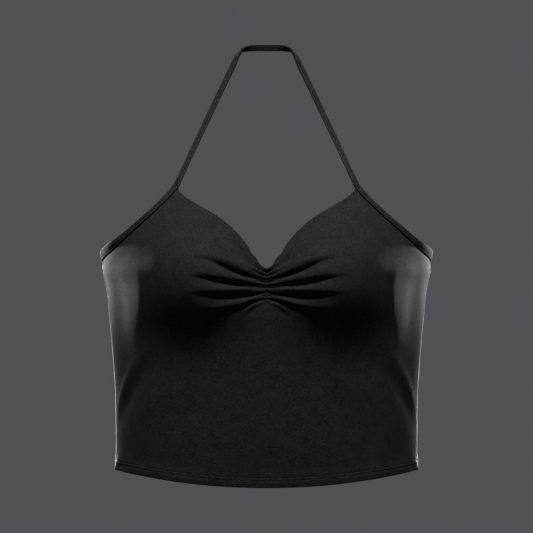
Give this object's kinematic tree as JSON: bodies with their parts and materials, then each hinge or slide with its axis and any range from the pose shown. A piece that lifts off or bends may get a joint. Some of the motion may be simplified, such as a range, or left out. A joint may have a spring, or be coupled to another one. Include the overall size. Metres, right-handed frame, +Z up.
{
  "type": "halter neck top",
  "caption": "Cropped black jersey halter neck top in its worn, hollow form, with a gathered sweetheart front, bound armholes and a narrow neck strap.",
  "frame": {"origin": "Centre of the neck strap's inner face at the nape, where the wearer's neck holds the top.", "axes": "+Z up, -Y towards the front of the garment, +X towards the garment's left side as worn."},
  "size_m": [0.3294, 0.2063, 0.438],
  "materials": {
    "body_jersey": "matt fine-knit black jersey with a soft sheen at grazing angles",
    "binding_jersey": "matt black jersey strip, folded and top-stitched"
  },
  "bodies": {
    "root": {"front_panel": "body_jersey", "back_panel": "body_jersey", "halter_binding": "binding_jersey", "back_binding": "binding_jersey"}
  },
  "joints": []
}
